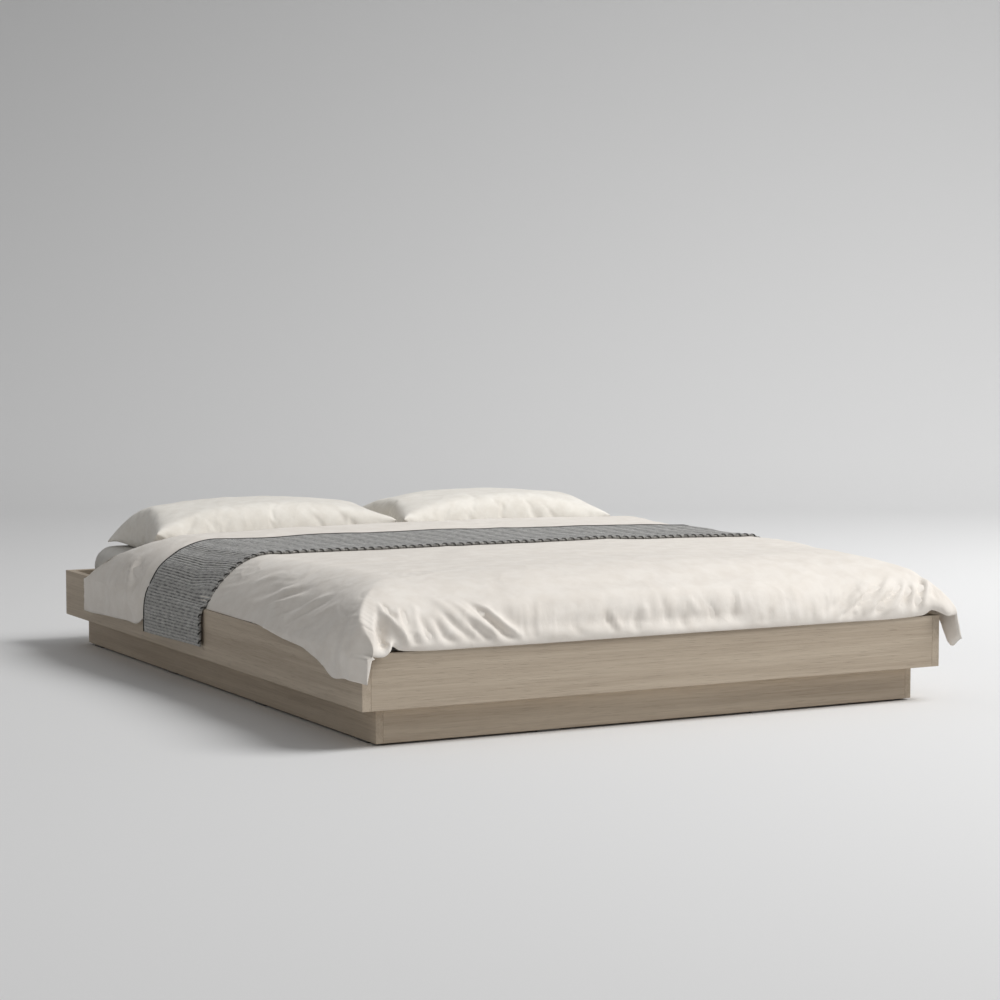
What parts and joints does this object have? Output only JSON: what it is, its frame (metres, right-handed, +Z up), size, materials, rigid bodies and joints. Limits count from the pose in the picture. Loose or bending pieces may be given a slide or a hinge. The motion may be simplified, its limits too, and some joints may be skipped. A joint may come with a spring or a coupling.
{
  "type": "double platform bed",
  "caption": "Low platform bed: timber rails on a recessed plinth, with sprung slats, mattress, fitted sheet, duvet, knitted throw and pillows.",
  "frame": {"origin": "on the floor under the middle of the timber frame, at the underside of the centre foot", "axes": "+X to the right of someone who stands at the foot and looks at the head, +Y from the foot to the head, +Z up"},
  "size_m": [1.6584, 2.122, 0.4357],
  "materials": {
    "limed_oak": "pale limed oak, matt lacquer, grain along each board",
    "inner_pine": "planed pine, bare",
    "slat_birch": "laminated birch, satin lacquer",
    "bracket_steel": "black powder coat",
    "screw_steel": "zinc plated",
    "moulded_plastic": "moulded, fine matt",
    "felt": "pressed felt",
    "mattress_ticking": "knitted ticking, matt",
    "sheet_cotton": "plain woven cotton, matt",
    "duvet_cotton": "plain woven cotton, soft, lightly creased",
    "pillow_cotton": "plain woven cotton, soft",
    "throw_wool": "chunky ribbed knit with a dark bound edge"
  },
  "bodies": {
    "root": {"beam_bearer_foot": "inner_pine", "beam_bearer_head": "inner_pine", "beam_felt": "felt", "centre_beam": "inner_pine", "centre_foot_pad": "moulded_plastic", "centre_foot_stem": "screw_steel", "corner_bracket_foot_left": "bracket_steel", "corner_bracket_foot_right": "bracket_steel", "corner_bracket_head_left": "bracket_steel", "corner_bracket_head_right": "bracket_steel", "corner_bracket_screws": "screw_steel", "duvet": "duvet_cotton", "fitted_sheet": "sheet_cotton", "foot_rail": "limed_oak", "head_rail": "limed_oak", "ledger_cleats": "inner_pine", "ledger_foot": "inner_pine", "ledger_head": "inner_pine", "ledger_left": "inner_pine", "ledger_right": "inner_pine", "mattress": "mattress_ticking", "pillow_left": "pillow_cotton", "pillow_right": "pillow_cotton", "plinth_cross_foot": "inner_pine", "plinth_cross_head": "inner_pine", "plinth_foot": "limed_oak", "plinth_glides": "felt", "plinth_glue_blocks": "inner_pine", "plinth_head": "limed_oak", "plinth_side_left": "limed_oak", "plinth_side_right": "limed_oak", "side_rail_left": "limed_oak", "side_rail_right": "limed_oak", "slat_01": "slat_birch", "slat_02": "slat_birch", "slat_03": "slat_birch", "slat_04": "slat_birch", "slat_05": "slat_birch", "slat_06": "slat_birch", "slat_07": "slat_birch", "slat_08": "slat_birch", "slat_09": "slat_birch", "slat_10": "slat_birch", "slat_11": "slat_birch", "slat_12": "slat_birch", "slat_13": "slat_birch", "slat_14": "slat_birch", "slat_holders_left": "moulded_plastic", "slat_holders_right": "moulded_plastic", "throw": "throw_wool"}
  },
  "joints": []
}
